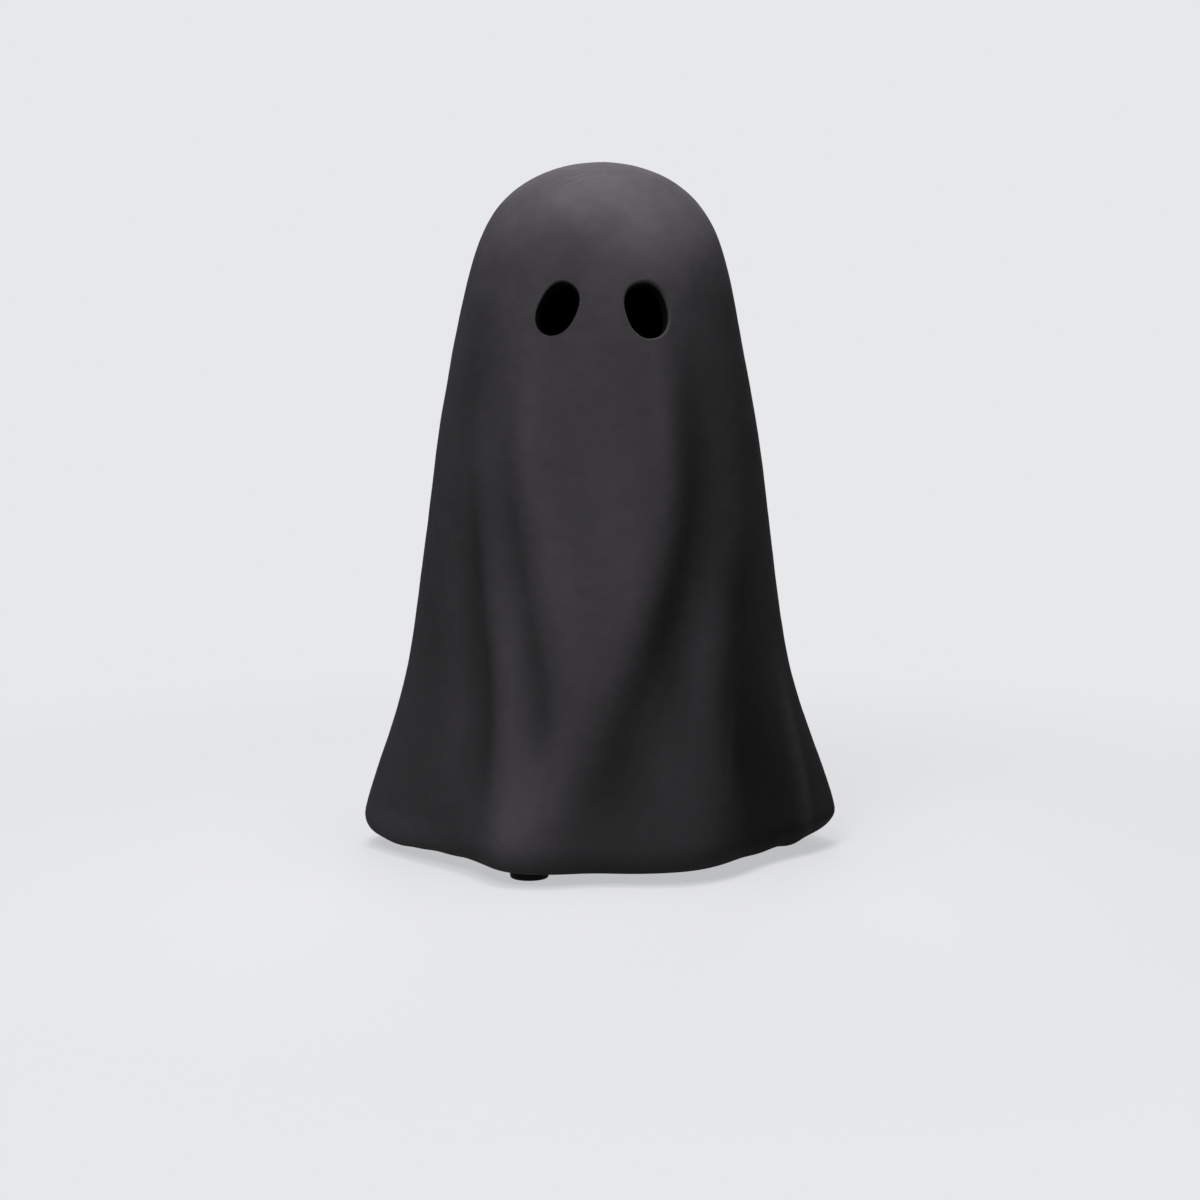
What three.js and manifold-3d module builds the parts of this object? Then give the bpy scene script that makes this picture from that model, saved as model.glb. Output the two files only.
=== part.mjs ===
// A hollow paper mache ghost: a sheet draped over a domed head, falling in soft folds to a rounded hem.
// Millimetres, +Z up. The front faces -Y, and the origin is on the surface that it stands on.
// Angles go round from the front, positive towards +X, which is on the right for someone facing it.
import * as THREE from 'three';
import { mergeVertices } from 'three/addons/utils/BufferGeometryUtils.js';
import Module from 'manifold-3d';

const wasm = await Module();
wasm.setup();

// Driving dimensions of the drape
const height = 279.4;
const waistHalfWidth = 72.2;
const waistHeight = 118;
const taperPerMm = 0.159;
const hemFlare = 9.4;
const flareReach = 36;
const shoulderSwell = 1.1;
const shoulderHeight = 160;
const shoulderReach = 35;
const domePower = 17.5;
const depthToWidth = 0.92;
const crownLean = 2;
const crownLeanPower = 40;

// The hem turns under from its widest level down to the level of its flat underside
const hemLevel = 4.6;
const hemWidestLevel = 15.5;
const hemTurnUnder = 8;

// At the hem the sheet hangs as six flat panels, which melt into the oval of the head further up.
// A panel lies at its own share of the half-width from the axis.
const panels = [
  { facing: 0, share: 0.858 },
  { facing: 53, share: 0.837 },
  { facing: 126, share: 0.845 },
  { facing: 180, share: 0.845 },
  { facing: -126, share: 0.845 },
  { facing: -54, share: 0.82 },
];
const panelCorner = 16;
const panelTop = 180;

// Pulp wall, and what closes and carries the shell
const wall = 5;
const hemRim = 3;
const rimBlend = 14;
const gap = 0.3;
const stripWidth = 20;
const stripThickness = 1.2;
const boardThickness = 3;
const footRadius = 7.65;
const footEdge = 0.8;
const footCircle = 67.3;
const footAngles = { foot_front_left: -24, foot_right: 96, foot_rear_left: -144 };

// Eye openings: egg-shaped, blunt end up, tops leaning towards each other
const eyes = [
  { across: -16.4, level: 224, width: 14.6, tall: 21.8, lean: 25.5 },
  { across: 19, level: 223.4, width: 15.8, tall: 22.2, lean: -13 },
];
const eggTaper = -0.08;
const lipFlare = 0.1;
const lipDepth = 1.5;

// The folds. Each one crosses the hem at one angle and eases to another at the height of its reach.
// It sinks in by its depth, or stands out where that is negative. It grows from its foot, is full at
// one height and has melted away at its end. Its two flanks have their own widths, in degrees.
const folds = [
  { hem: -36.5, top: -57.3, reach: 200, depth: 4.4, left: 10, right: 6.4, foot: -24, full: 62, end: 216 },
  { hem: -13.5, top: -45.6, reach: 240, depth: 3.7, left: 7.2, right: 5.5, foot: 30, full: 72, end: 212 },
  { hem: 1, top: -34, reach: 240, depth: -2, left: 5.3, right: 10, foot: 31, full: 101, end: 230 },
  { hem: 1, top: 43.5, reach: 160, depth: 8.4, left: 13, right: 15, foot: -85, full: 92, end: 240 },
  { hem: 22.5, top: 60.7, reach: 200, depth: 3, left: 10, right: 11, foot: -61, full: 25, end: 184 },
  { hem: 57.5, top: 71, reach: 170, depth: 4.7, left: 15.5, right: 24, foot: -55, full: 47, end: 203 },
  { hem: 71, top: 86, reach: 90, depth: -1.4, left: 4, right: 4, foot: -30, full: 30, end: 88 },
  { hem: -59, top: -74, reach: 160, depth: 1.1, left: 17.5, right: 16, foot: -60, full: 40, end: 170 },
  { hem: -13, top: -10, reach: 100, depth: -1.1, left: 12, right: 6, foot: -30, full: 20, end: 72 },
  { hem: 92, top: 92, reach: 100, depth: 14.8, left: 19.6, right: 30, foot: -60, full: -10, end: 16 },
  { hem: -94.5, top: -95.5, reach: 100, depth: 1.4, left: 25, right: 20, foot: 5, full: 30, end: 75 },
  { hem: -48.5, top: -50, reach: 100, depth: 3, left: 11, right: 13.5, foot: -30, full: -5, end: 60 },
  { hem: -116, top: -104, reach: 180, depth: 4.5, left: 12, right: 9, foot: -40, full: 50, end: 190 },
  { hem: -158, top: -146, reach: 220, depth: 5, left: 12, right: 12, foot: -50, full: 90, end: 225 },
  { hem: 156, top: 138, reach: 200, depth: 5.5, left: 12, right: 11, foot: -60, full: 70, end: 215 },
  { hem: 118, top: 110, reach: 170, depth: 4.5, left: 9, right: 13, foot: -30, full: 45, end: 180 },
];

// How finely the skins are faceted
const outerColumns = 88;
const innerColumns = 48;
const frontCrowding = 0.3;

const radians = THREE.MathUtils.degToRad;
const ease = (share) => THREE.MathUtils.smoothstep(share, 0, 1);
const bell = (offset) => Math.exp(-offset * offset);

// Half the drape's width at a height: a straight taper, a flare at the hem, a swell at the shoulder,
// and a root that brings it in to a point at the crown and rounds the dome on the way.
function taperedHalfWidth(level) {
  return waistHalfWidth + taperPerMm * (waistHeight - level)
    + hemFlare * bell((level - hemWidestLevel) / flareReach)
    + shoulderSwell * bell((level - shoulderHeight) / shoulderReach);
}

function domeShare(level) {
  const share = THREE.MathUtils.clamp(level / height, 0, 1);
  return Math.sqrt(1 - share ** domePower);
}

function hemTuck(level) {
  const share = THREE.MathUtils.clamp((hemWidestLevel - level) / (hemWidestLevel - hemLevel), 0, 1);
  return hemTurnUnder * (1 - Math.sqrt(1 - share * share));
}

// A plan section of flat panels whose corners are rounded by a high power
function panelRadius(angle, halfWidth) {
  let sum = 0;
  for (const { facing, share } of panels) {
    const towards = Math.max(Math.cos(angle - radians(facing)), 0);
    sum += (towards / (share * halfWidth)) ** panelCorner;
  }
  return sum ** (-1 / panelCorner);
}

function ovalRadius(angle, halfWidth) {
  return halfWidth / Math.hypot(Math.sin(angle), Math.cos(angle) / depthToWidth);
}

function foldDepth(angle, level) {
  let depth = 0;
  for (const fold of folds) {
    const line = fold.hem + (fold.top - fold.hem) * ease(level / fold.reach);
    const offset = THREE.MathUtils.euclideanModulo(THREE.MathUtils.radToDeg(angle) - line + 180, 360) - 180;
    const growth = ease((level - fold.foot) / (fold.full - fold.foot));
    const melt = ease((fold.end - level) / (fold.end - fold.full));
    depth += fold.depth * growth * melt * bell(offset / (offset < 0 ? fold.left : fold.right));
  }
  return depth;
}

// Distance of the draped skin from the upright axis, before the hem turns under
function drapeRadius(angle, level) {
  const halfWidth = taperedHalfWidth(level) * domeShare(level);
  if (halfWidth === 0) {
    return 0;
  }
  const oval = ovalRadius(angle, halfWidth);
  const panelled = panelRadius(angle, halfWidth);
  const panelShare = 1 - ease(level / panelTop);
  return oval + (panelled - oval) * panelShare - foldDepth(angle, level);
}

const outerRadius = (angle, level) => drapeRadius(angle, level) - hemTuck(level);

// A skin lies lower than the outer one by its inset at the crown and not at all at the hem, so each of
// its levels stands for a higher one of the outer skin
function outerLevelOf(level, inset) {
  return Math.min(level + inset * (level / (height - inset)) ** 4, height);
}

// The crown was pushed a little to one side while the pulp was wet
const leanAt = (outerLevel) => crownLean * (outerLevel / height) ** crownLeanPower;

// The same skin drawn in all round by an inset, which is thicker where the hem's rim is
function insetRadius(angle, level, inset) {
  const rim = (hemTurnUnder + hemRim - wall) * (1 - ease((level - hemLevel - boardThickness) / rimBlend));
  const share = 1 - (inset + rim) / taperedHalfWidth(level);
  return drapeRadius(angle, outerLevelOf(level, inset)) * share;
}

// Levels of a skin's rings: close together round the hem and over the dome, even between
function ringLevels(low, hemRings, bodyRings, domeRings, top) {
  const levels = [];
  const domeStart = top - 62;
  for (let i = 0; i < hemRings; i += 1) {
    levels.push(hemWidestLevel - (hemWidestLevel - low) * Math.cos((i / hemRings) * Math.PI / 2));
  }
  for (let i = 0; i < bodyRings; i += 1) {
    levels.push(hemWidestLevel + (domeStart - hemWidestLevel) * (i / bodyRings));
  }
  for (let i = 0; i < domeRings; i += 1) {
    levels.push(domeStart + (top - domeStart) * Math.sin((i / domeRings) * Math.PI / 2));
  }
  return levels;
}

// A profile turned on the upright axis, whose rings are then pushed in or out to the draped form
function drapedSolid(levels, inset, columns, radiusAt) {
  const profile = [new THREE.Vector2(0, levels[0])];
  for (const level of levels) {
    profile.push(new THREE.Vector2(taperedHalfWidth(level), level));
  }
  profile.push(new THREE.Vector2(0, height - inset));
  const turned = new THREE.LatheGeometry(profile, columns).rotateX(Math.PI / 2);
  const place = turned.attributes.position;
  for (let i = 0; i < place.count; i += 1) {
    const turn = Math.atan2(place.getX(i), -place.getY(i));
    const angle = turn - frontCrowding * Math.sin(turn);
    const onAxis = Math.hypot(place.getX(i), place.getY(i)) < 1;
    const radius = onAxis ? 0 : radiusAt(angle, place.getZ(i));
    const lean = leanAt(outerLevelOf(Math.max(place.getZ(i), 0), inset));
    place.setXY(i, radius * Math.sin(angle) + lean, -radius * Math.cos(angle));
  }
  return turned;
}

// Solids for joining and cutting, and back again
function solidOf(geometry) {
  const bare = geometry.clone();
  bare.deleteAttribute('normal');
  bare.deleteAttribute('uv');
  const merged = mergeVertices(bare, 1e-4);
  const vertProperties = new Float32Array(merged.attributes.position.array);
  const triVerts = new Uint32Array(merged.index.array);
  return new wasm.Manifold(new wasm.Mesh({ numProp: 3, vertProperties, triVerts }));
}

function geometryOf(solid) {
  const mesh = solid.getMesh();
  const geometry = new THREE.BufferGeometry();
  geometry.setAttribute('position', new THREE.Float32BufferAttribute(mesh.vertProperties, 3));
  geometry.setIndex(Array.from(mesh.triVerts));
  geometry.computeVertexNormals();
  return geometry;
}

function blockBetween(low, high) {
  const size = new THREE.Vector3().subVectors(high, low);
  const block = new THREE.BoxGeometry(size.x, size.y, size.z);
  const centre = new THREE.Vector3().addVectors(low, high).multiplyScalar(0.5);
  return solidOf(block.translate(centre.x, centre.y, centre.z));
}

const corner = (x, y, z) => new THREE.Vector3(x, y, z);
const reach = 200;
const inFrontOf = (y) => blockBetween(corner(-reach, -reach, -reach), corner(reach, y, 2 * reach));
const behind = (y) => blockBetween(corner(-reach, y, -reach), corner(reach, reach, 2 * reach));

// Where the front of the drape is, straight ahead of a point across it and up it
function frontFace(across, level) {
  let angle = 0;
  for (let i = 0; i < 8; i += 1) {
    angle = Math.asin(across / drapeRadius(angle, level));
  }
  return -drapeRadius(angle, level) * Math.cos(angle);
}

// What an eye opening takes out: an egg-shaped plug through the wall that widens at the skin into a
// rounded lip. Its rings follow the skin, so the lip is as deep all round.
function eyePlug(eye) {
  const profile = [new THREE.Vector2(0, -5)];
  profile.push(new THREE.Vector2(1 + 3.2 * lipFlare, -5));
  profile.push(new THREE.Vector2(1 + lipFlare, 0));
  for (const share of [0.2, 0.55, 1]) {
    profile.push(new THREE.Vector2(1 + lipFlare * (1 - Math.sqrt(1 - (1 - share) ** 2)), lipDepth * share));
  }
  profile.push(new THREE.Vector2(1, 4 * wall));
  profile.push(new THREE.Vector2(0, 4 * wall));
  const plug = new THREE.LatheGeometry(profile, 28).rotateX(Math.PI / 2);
  const place = plug.attributes.position;
  for (let i = 0; i < place.count; i += 1) {
    const spread = Math.hypot(place.getX(i), place.getY(i));
    const turn = Math.atan2(place.getX(i), -place.getY(i));
    const side = (eye.width / 2) * spread * Math.sin(turn) * (1 - eggTaper * Math.cos(turn));
    const up = (eye.tall / 2) * spread * Math.cos(turn);
    const lean = radians(eye.lean);
    const across = eye.across + side * Math.cos(lean) + up * Math.sin(lean);
    const level = eye.level + up * Math.cos(lean) - side * Math.sin(lean);
    place.setXYZ(i, across, frontFace(across, level) + place.getZ(i), level);
  }
  return solidOf(plug);
}

// The hollow inside the shell, drawn in by an inset and open through the underside of the hem
function hollow(inset) {
  const underHem = [hemLevel - boardThickness, hemLevel];
  const levels = [...underHem, ...ringLevels(hemLevel + boardThickness, 3, 11, 7, height - inset)];
  const radiusAt = (angle, level) => insetRadius(angle, level, inset);
  return solidOf(drapedSolid(levels, inset, innerColumns, radiusAt));
}

function pulpShell() {
  const levels = ringLevels(hemLevel, 4, 20, 9, height);
  let shell = solidOf(drapedSolid(levels, 0, outerColumns, outerRadius)).subtract(hollow(wall));
  for (const eye of eyes) {
    shell = shell.subtract(eyePlug(eye));
  }
  return shell;
}

// A band of pasted paper across the joint of the two halves, from the board up over the crown and down
function seamStrip() {
  const band = hollow(wall + gap).subtract(hollow(wall + gap + stripThickness));
  const low = corner(-reach, -stripWidth / 2, hemLevel + boardThickness + gap);
  const high = corner(reach, stripWidth / 2, height);
  return band.intersect(blockBetween(low, high));
}

// The board fills the hem's opening, flush with its underside
function baseBoard() {
  const outline = [];
  for (let i = 0; i < innerColumns; i += 1) {
    const turn = (i / innerColumns) * 2 * Math.PI;
    const angle = turn - frontCrowding * Math.sin(turn);
    const radius = insetRadius(angle, hemLevel, wall) - gap;
    outline.push(new THREE.Vector2(radius * Math.sin(angle), -radius * Math.cos(angle)));
  }
  const flat = { depth: boardThickness, bevelEnabled: false };
  return new THREE.ExtrudeGeometry(new THREE.Shape(outline), flat).translate(0, 0, hemLevel);
}

// A stuck-on rubber foot: a short cylinder with a rounded edge at the floor
function rubberFoot() {
  const profile = [new THREE.Vector2(0, 0)];
  for (let i = 0; i <= 3; i += 1) {
    const turn = (i / 3) * Math.PI / 2;
    const across = footRadius - footEdge * (1 - Math.sin(turn));
    profile.push(new THREE.Vector2(across, footEdge * (1 - Math.cos(turn))));
  }
  profile.push(new THREE.Vector2(footRadius, hemLevel - gap));
  profile.push(new THREE.Vector2(0, hemLevel - gap));
  return new THREE.LatheGeometry(profile, 32).rotateX(Math.PI / 2);
}

const matt = (color, roughness) => new THREE.MeshStandardMaterial({ color, roughness, metalness: 0 });
const charcoalPaint = () => matt(0x3a373a, 0.9);
const pastedPaper = () => matt(0x8f8577, 0.95);
const greyChipboard = () => matt(0x6f675c, 0.95);
const blackRubber = () => matt(0x141414, 0.6);

function piece(name, geometry, material) {
  const mesh = new THREE.Mesh(geometry, material);
  mesh.name = name;
  return mesh;
}

const ghost = new THREE.Group();
const shell = pulpShell();
ghost.add(piece('shell_front', geometryOf(shell.intersect(inFrontOf(-gap / 2))), charcoalPaint()));
ghost.add(piece('shell_back', geometryOf(shell.intersect(behind(gap / 2))), charcoalPaint()));
ghost.add(piece('seam_strip', geometryOf(seamStrip()), pastedPaper()));
ghost.add(piece('base_board', baseBoard(), greyChipboard()));
for (const [name, angle] of Object.entries(footAngles)) {
  const foot = piece(name, rubberFoot(), blackRubber());
  foot.position.set(footCircle * Math.sin(radians(angle)), -footCircle * Math.cos(radians(angle)), 0);
  ghost.add(foot);
}

export default ghost;
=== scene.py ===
# %% [markdown]
# # A paper mache ghost, dressed for a picture
#
# The ghost is a hollow figure of moulded paper pulp, painted charcoal black. It has the form of a
# sheet that hangs over a domed head in soft folds, with two slanted eye openings and a rolled hem,
# and it stands on three small rubber feet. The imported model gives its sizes. This lesson makes the
# finished surfaces on top of it, one step at a time.

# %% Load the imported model
import math

import bpy
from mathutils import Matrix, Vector


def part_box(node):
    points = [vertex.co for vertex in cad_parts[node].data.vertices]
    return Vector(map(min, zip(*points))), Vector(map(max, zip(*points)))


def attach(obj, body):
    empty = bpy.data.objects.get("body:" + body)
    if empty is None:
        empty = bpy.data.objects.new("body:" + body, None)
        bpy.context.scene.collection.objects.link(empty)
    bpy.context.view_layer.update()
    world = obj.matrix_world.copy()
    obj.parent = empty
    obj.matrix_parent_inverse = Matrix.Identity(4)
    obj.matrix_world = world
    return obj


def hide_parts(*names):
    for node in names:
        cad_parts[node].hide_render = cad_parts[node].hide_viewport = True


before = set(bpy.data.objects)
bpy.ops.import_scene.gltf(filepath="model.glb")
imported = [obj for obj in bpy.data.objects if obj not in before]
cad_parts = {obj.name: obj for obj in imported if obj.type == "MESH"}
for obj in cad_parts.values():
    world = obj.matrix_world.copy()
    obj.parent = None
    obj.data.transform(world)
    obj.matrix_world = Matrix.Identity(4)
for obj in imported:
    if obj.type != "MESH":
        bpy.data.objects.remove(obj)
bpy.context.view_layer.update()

# %% [markdown]
# ## Sizes
#
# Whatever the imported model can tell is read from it, so that the dressed surfaces can't drift away
# from the solids: how tall the ghost is, where the flat underside of its hem lies, and where each
# foot stands. The rest are the sizes of the drape itself, in millimetres and degrees. Those of the
# front were fitted to the figure's picture and rounded, and the folds of the sides and the back are
# guessed. They also shaped the solids, but a few folds are set finer here, and one crease is new.

# %% Sizes read from the model
MM = 0.001
shell_low, shell_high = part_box("shell_front")
board_low, board_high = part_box("base_board")
HEIGHT = shell_high.z / MM
HEM_LEVEL = shell_low.z / MM
BOARD_TOP = board_high.z / MM
FOOT_NODES = ["foot_front_left", "foot_right", "foot_rear_left"]
foot_boxes = [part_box(node) for node in FOOT_NODES]
FOOT_RADIUS = (foot_boxes[0][1].x - foot_boxes[0][0].x) / 2 / MM
FOOT_TALL = foot_boxes[0][1].z / MM
print("crown at", round(HEIGHT, 2), "hem at", round(HEM_LEVEL, 2), "top of the board at", round(BOARD_TOP, 2))
print("foot radius", round(FOOT_RADIUS, 2), "and height", round(FOOT_TALL, 2))

# %% Sizes of the drape, in mm
WAIST_HALF_WIDTH = 72.2
WAIST_LEVEL = 118
TAPER_PER_MM = 0.159
HEM_FLARE = 9.4
FLARE_REACH = 36
SHOULDER_SWELL = 1.1
SHOULDER_LEVEL = 160
SHOULDER_REACH = 35
DOME_POWER = 17.5
DEPTH_TO_WIDTH = 0.92
HEM_WIDEST_LEVEL = 15.5
HEM_TURN_UNDER = 8
PANELS = [(0, 0.858), (53, 0.837), (126, 0.845), (180, 0.845), (-126, 0.845), (-54, 0.82)]
PANEL_CORNER = 16
PANEL_TOP = 180
CROWN_LEAN = 2.0
CROWN_LEAN_POWER = 40
WALL = 5
HEM_RIM = 3
RIM_BLEND = 14
print("half-width at the waist:", WAIST_HALF_WIDTH, "mm, with", len(PANELS), "flat panels at the hem")

# %% The folds: where each crosses the hem and where it ends, how deep it is and how far it runs
# Angles are in degrees to the right of the front. A valley is deep by a positive number of mm and a
# ridge by a negative one. Reach, foot, full and end are levels in mm: the line drifts up to its reach,
# and the fold grows from its foot, is full at the next level and has melted away at its end.
FOLD_WORDS = ["Hem angle", "Top angle", "Reach", "Depth", "Left width", "Right width", "Foot", "Full", "End"]
FOLDS = {
    "left valley": (-36.5, -57.3, 200, 4.4, 10, 6.4, -24, 62, 216),
    "inner left valley": (-13.5, -45.6, 240, 3.7, 7.2, 5.2, 23, 66, 212),
    "middle panel, left edge": (1, -34, 240, -2.0, 5.3, 10, 31, 101, 230),
    "sweeping valley": (1, 42.5, 160, 8.4, 12.5, 15, -85, 92, 240),
    "inner right valley": (22.5, 60.7, 200, 3.0, 10, 11, -61, 25, 184),
    "right valley": (57.5, 71, 170, 4.7, 15.5, 24, -55, 47, 203),
    "right side crease": (75.5, 83, 90, -1.7, 2.6, 2.3, -30, 30, 92),
    "fine crease right of the middle": (37.5, 65, 130, -0.35, 2.2, 2, 25, 45, 85),
    "left side dish": (-59, -74, 160, 1.1, 17.5, 16, -60, 40, 170),
    "front hem crest": (-13, -10, 100, -1.1, 12, 6, -30, 20, 72),
    "right hem corner": (92, 92, 100, 14.8, 19.6, 30, -60, -10, 16),
    "left hem corner": (-94.5, -95.5, 100, 1.4, 25, 20, 5, 30, 75),
    "left hem dish": (-48.5, -50, 100, 3.0, 11, 13.5, -30, -5, 60),
    "left flank valley": (-116, -104, 180, 4.5, 12, 9, -40, 50, 190),
    "rear left valley": (-158, -146, 220, 5.0, 12, 12, -50, 90, 225),
    "rear right valley": (156, 138, 200, 5.5, 12, 11, -60, 70, 215),
    "right flank valley": (118, 110, 170, 4.5, 9, 13, -30, 45, 180),
}
print(len(FOLDS), "folds")

# %% [markdown]
# ## The flat pattern
#
# A shell like this can be sculpted, cut out of a revolved profile with booleans, or drawn flat first,
# like a dressmaker's pattern, and rolled up afterwards. The flat pattern wins here. Its X is the
# angle round the figure in degrees, its Y the height in millimetres, and its Z how far inside the
# outer skin a point lies, so an eye opening is drawn as a plain egg on a flat sheet, its rounded lip
# is a few rings, and there are no ragged cuts. The pattern has an outer sheet, an inner sheet with
# half as many cells each way, the two eye tubes between them and the rim under the hem. Its columns
# stand closest together at the front, where the eyes are.

# %% Columns and levels of the pattern
COLUMNS = 320
FRONT_CROWDING = 0.3
HEM_ROWS = 10
BODY_ROWS = 146
DOME_ROWS = 44
DOME_DROP = 62


def column_angle(column):
    turn = 2 * math.pi * column / COLUMNS - math.pi
    return math.degrees(turn - FRONT_CROWDING * math.sin(turn))


def row_levels():
    dome_start = HEIGHT - DOME_DROP
    levels = []
    for row in range(HEM_ROWS):
        drop = math.cos(row / HEM_ROWS * math.pi / 2)
        levels.append(HEM_WIDEST_LEVEL - (HEM_WIDEST_LEVEL - HEM_LEVEL) * drop)
    for row in range(BODY_ROWS):
        levels.append(HEM_WIDEST_LEVEL + (dome_start - HEM_WIDEST_LEVEL) * row / BODY_ROWS)
    for row in range(DOME_ROWS + 1):
        levels.append(dome_start + DOME_DROP * math.sin(row / DOME_ROWS * math.pi / 2))
    return levels


LEVELS = row_levels()
ANGLES = [column_angle(column) for column in range(COLUMNS + 1)]
print(COLUMNS, "columns,", len(LEVELS) - 1, "rows")

# %% [markdown]
# ## The eyes on the pattern
#
# Each eye is a tall egg with its blunt end up, leaning in towards the other. On the real figure the
# opening is pressed in while the pulp is wet: the lip rolls in softly at the top, where it throws a
# grey gradient, and it stays thin at the bottom, where it catches a fine line of light. So the lip
# has one width at the top and another at the bottom. A true oval looks pointed beside a hole pressed
# by hand, so the sine and cosine that draw it are pushed a little towards their ends.

# %% Egg outlines and lips
HEAD_RADIUS_AT_EYES = 51.5
EGG_SQUARENESS = 0.87
LIP_AT_TOP = 0.9
LIP_AT_BOTTOM = 0.6
EYES = [
    {"across": -16.45, "level": 224.2, "wide": 14.4, "tall": 20.9, "lean": 24.6, "blunt": 0.05},
    {"across": 19.3, "level": 223.4, "wide": 16.4, "tall": 22.2, "lean": -13.0, "blunt": 0.08},
]


def squared(wave):
    """A sine or cosine pushed towards its ends, so that an oval gets fuller corners."""
    return math.copysign(abs(wave) ** EGG_SQUARENESS, wave)


def lip_width(turn):
    topness = (1 + math.cos(turn)) / 2
    return LIP_AT_BOTTOM + (LIP_AT_TOP - LIP_AT_BOTTOM) * topness


def egg_point(eye, turn, lip_share):
    """A point round the eye: turn 0 is its blunt top, lip_share 0 the opening and 1 the lip's outer edge."""
    lip = lip_width(turn) * lip_share
    side = (eye["wide"] / 2 + lip) * squared(math.sin(turn)) * (1 + eye["blunt"] * math.cos(turn))
    up = (eye["tall"] / 2 + lip) * squared(math.cos(turn))
    lean = math.radians(eye["lean"])
    across = eye["across"] + side * math.cos(lean) + up * math.sin(lean)
    level = eye["level"] + up * math.cos(lean) - side * math.sin(lean)
    return math.degrees(math.asin(across / HEAD_RADIUS_AT_EYES)), level


def eye_turn(eye, angle, level):
    """Which way round the eye a point of the pattern lies."""
    across = HEAD_RADIUS_AT_EYES * math.sin(math.radians(angle)) - eye["across"]
    rise = level - eye["level"]
    lean = math.radians(eye["lean"])
    side = across * math.cos(lean) - rise * math.sin(lean)
    up = across * math.sin(lean) + rise * math.cos(lean)
    return math.atan2(side / eye["wide"], up / eye["tall"])


print("eye openings, mm:", [(eye["wide"], eye["tall"]) for eye in EYES])

# %% Windows: the even-numbered cells that each eye takes out of the sheets
WINDOW_HALF_ANGLE = 17
WINDOW_HALF_RISE = 18


def nearest_even(values, target):
    index = min(range(len(values)), key=lambda i: abs(values[i] - target))
    return index - index % 2


def eye_window(eye):
    angle = math.degrees(math.asin(eye["across"] / HEAD_RADIUS_AT_EYES))
    left = nearest_even(ANGLES, angle - WINDOW_HALF_ANGLE)
    right = nearest_even(ANGLES, angle + WINDOW_HALF_ANGLE)
    low = nearest_even(LEVELS, eye["level"] - WINDOW_HALF_RISE)
    high = nearest_even(LEVELS, eye["level"] + WINDOW_HALF_RISE)
    return left, right, low, high


WINDOWS = [eye_window(eye) for eye in EYES]
print("eye windows (columns, rows):", WINDOWS)

# %% Draw the sheets
points = []
faces = []


def add_point(angle, level, inset):
    points.append((angle, level, -inset))
    return len(points) - 1


def in_window(column, row):
    return any(left <= column < right and low <= row < high for left, right, low, high in WINDOWS)


def add_sheet(step, inset, inward):
    """One sheet of the pattern, taking every step-th column and row, with the eye windows left open."""
    rows = range(0, len(LEVELS), step)
    columns = range(0, COLUMNS + 1, step)
    places = [(column, row) for row in rows for column in columns]
    index = {(column, row): add_point(ANGLES[column], LEVELS[row], inset) for column, row in places}
    for row in rows[:-1]:
        for column in columns[:-1]:
            if in_window(column, row):
                continue
            corners = [(column, row), (column + step, row), (column + step, row + step), (column, row + step)]
            if inward:
                corners.reverse()
            faces.append([index[corner] for corner in corners])
    return index


outer_sheet = add_sheet(1, 0, inward=False)
inner_sheet = add_sheet(2, WALL, inward=True)
print(len(points), "points on the two sheets")

# %% The edge of a window, and faces between two rings
def window_loop(index, window, step):
    """The window's edge as a ring of points, running anticlockwise from its lower left corner."""
    left, right, low, high = window
    corners = [(column, low) for column in range(left, right, step)]
    corners += [(right, row) for row in range(low, high, step)]
    corners += [(column, high) for column in range(right, left, -step)]
    corners += [(left, row) for row in range(high, low, -step)]
    return [index[corner] for corner in corners]


def bridge(outside, inside):
    """Fills between two anticlockwise rings. The inner one may have half as many points."""
    halved = len(outside) == 2 * len(inside)
    count = len(inside)
    for i in range(count):
        here, there = inside[i], inside[(i + 1) % count]
        if halved:
            a, b, c = outside[2 * i], outside[2 * i + 1], outside[(2 * i + 2) % len(outside)]
            faces.extend([[a, b, here], [b, c, there], [b, there, here]])
        else:
            faces.append([outside[i], outside[(i + 1) % count], there, here])


# %% From the window's edge to the lip
SPREAD_RINGS = 12
SPREAD_CROWDING = 1.6


def between(start, end, share):
    """The angle and level of a point part of the way from one place to another."""
    return start[0] + (end[0] - start[0]) * share, start[1] + (end[1] - start[1]) * share


def spread_to_lip(loop, lip_edge):
    """Rings from the window's square edge to the edge of the lip, closer together near the lip."""
    previous = loop
    for ring in range(1, SPREAD_RINGS + 1):
        share = 1 - (1 - ring / SPREAD_RINGS) ** SPREAD_CROWDING
        current = [add_point(*between(points[i], edge, share), 0) for i, edge in zip(loop, lip_edge)]
        bridge(previous, current)
        previous = current
    return previous


# %% Roll the lip, and pass through the wall
LIP_RINGS = 7
TUBE_RINGS = 3


def roll_lip(eye, turns, previous):
    """Rings that bend the skin inwards over a quarter round."""
    for ring in range(1, LIP_RINGS + 1):
        bend = ring / LIP_RINGS * math.pi / 2
        current = []
        for turn in turns:
            inset = lip_width(turn) * (1 - math.cos(bend))
            current.append(add_point(*egg_point(eye, turn, 1 - math.sin(bend)), inset))
        bridge(previous, current)
        previous = current
    return previous


def pass_through_wall(eye, turns, previous):
    """Straight rings from the lip to the inside of the wall."""
    for ring in range(1, TUBE_RINGS + 1):
        current = []
        for i, turn in zip(previous, turns):
            inset = -points[i][2]
            current.append(add_point(*egg_point(eye, turn, 0), inset + (WALL - inset) * ring / TUBE_RINGS))
        bridge(previous, current)
        previous = current
    return previous


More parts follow.
